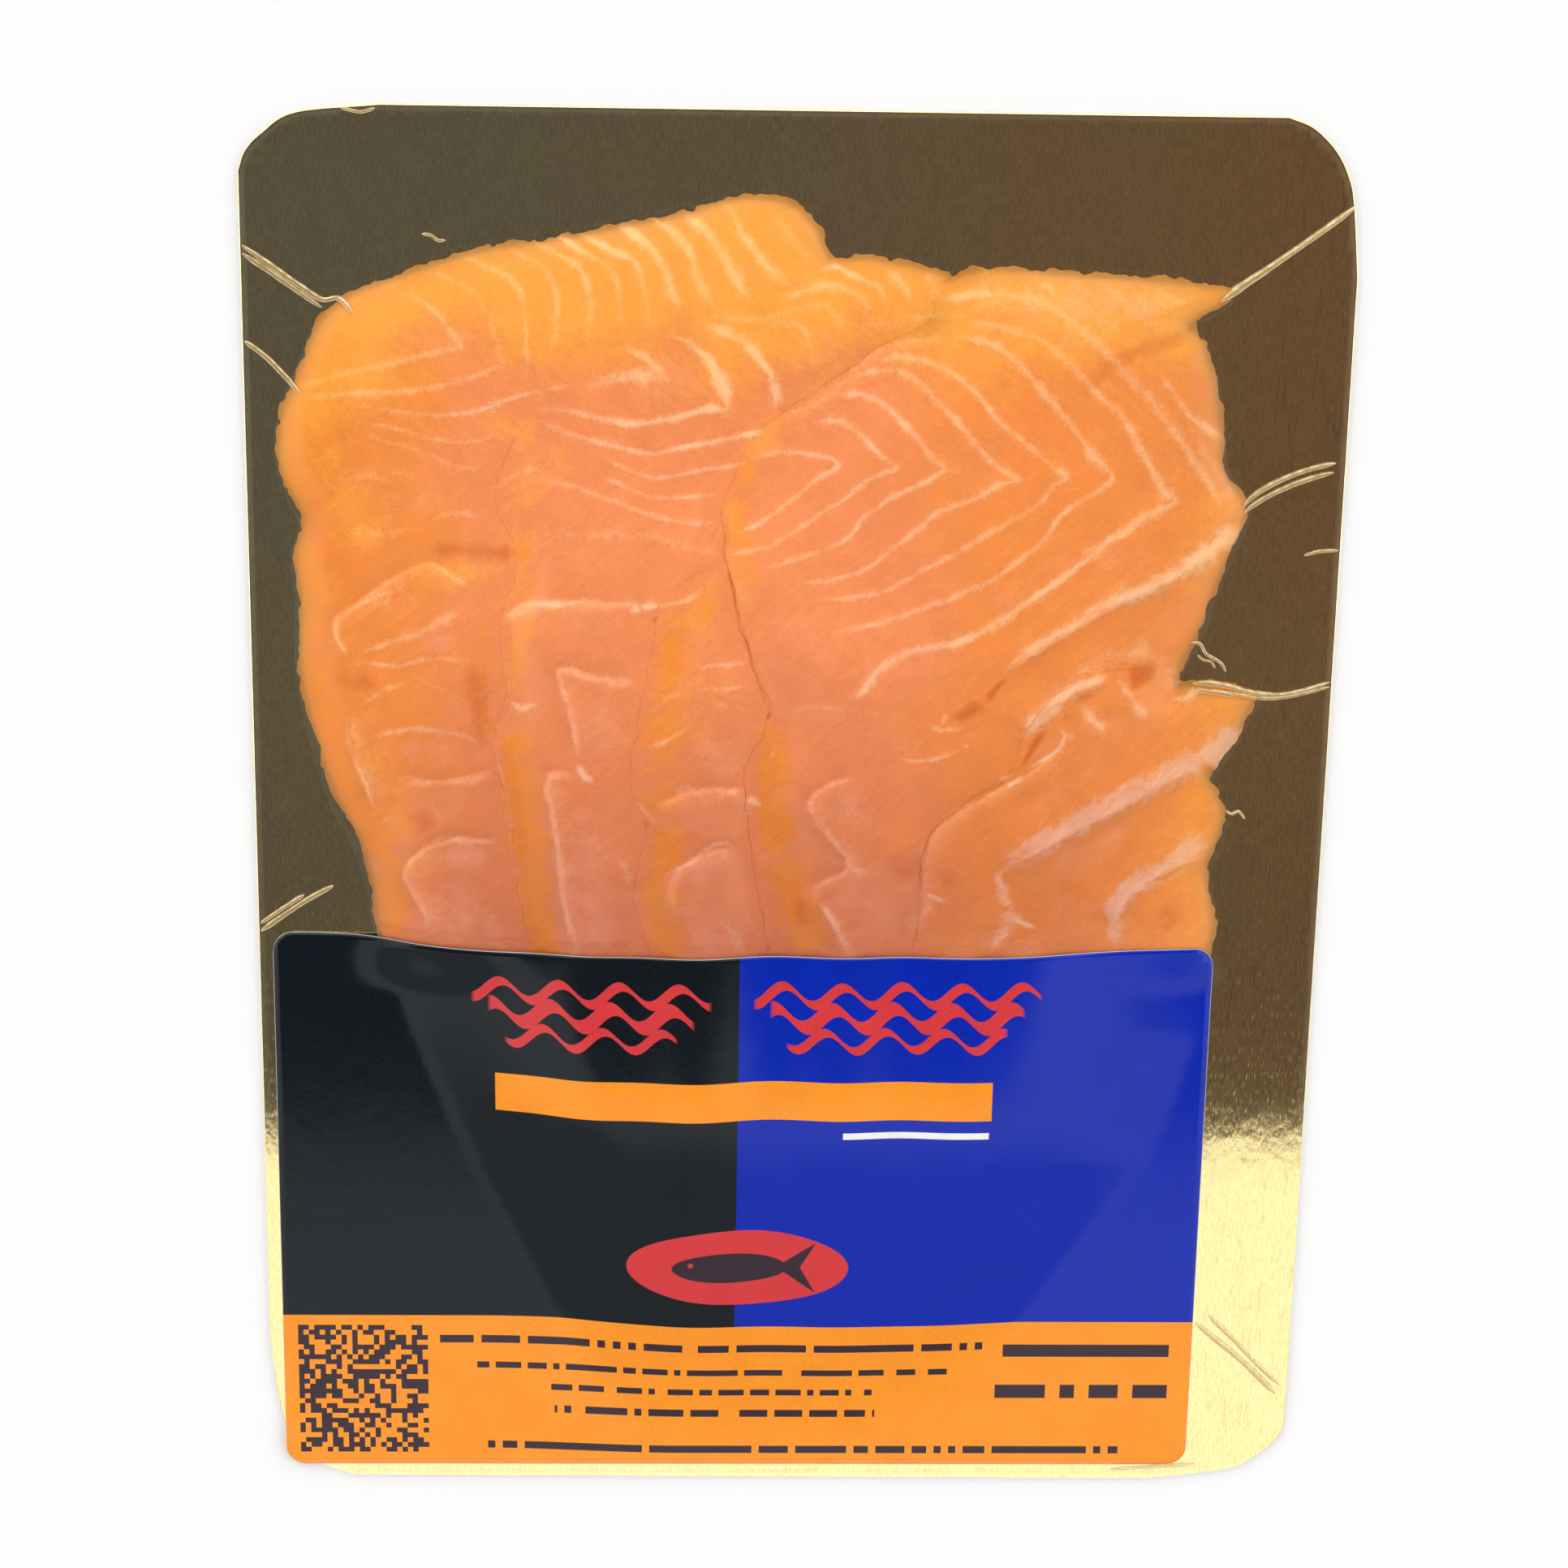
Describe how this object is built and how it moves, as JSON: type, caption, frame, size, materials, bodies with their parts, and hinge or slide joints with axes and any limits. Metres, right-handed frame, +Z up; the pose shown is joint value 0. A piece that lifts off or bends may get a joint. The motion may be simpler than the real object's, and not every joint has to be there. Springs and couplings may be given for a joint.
{
  "type": "pack of smoked salmon",
  "caption": "Flat skin pack of sliced smoked salmon: overlapping slices under clear film on a gold foil card with rounded corners and a printed label across its lower part.",
  "frame": {"origin": "under the middle of the card, on the surface that the pack lies on", "axes": "+Z up out of the pack's face, +Y towards its top edge (the label is at the -Y end), +X to the right of the face"},
  "size_m": [0.1524, 0.2032, 0.0117],
  "materials": {
    "foil_card": "gold foil laminate over white card, fine vertical grain",
    "salmon": "moist smoked salmon flesh with pale fat lines",
    "clear_film": "clear glossy skin film",
    "label": "glossy printed label, plain fields of black, blue and orange"
  },
  "bodies": {
    "root": {"card": "foil_card", "slice_1_left": "salmon", "slice_2_inner_left": "salmon", "slice_3_middle": "salmon", "slice_4_right": "salmon", "slice_5_lower_right": "salmon", "film": "clear_film", "label": "label"}
  },
  "joints": []
}
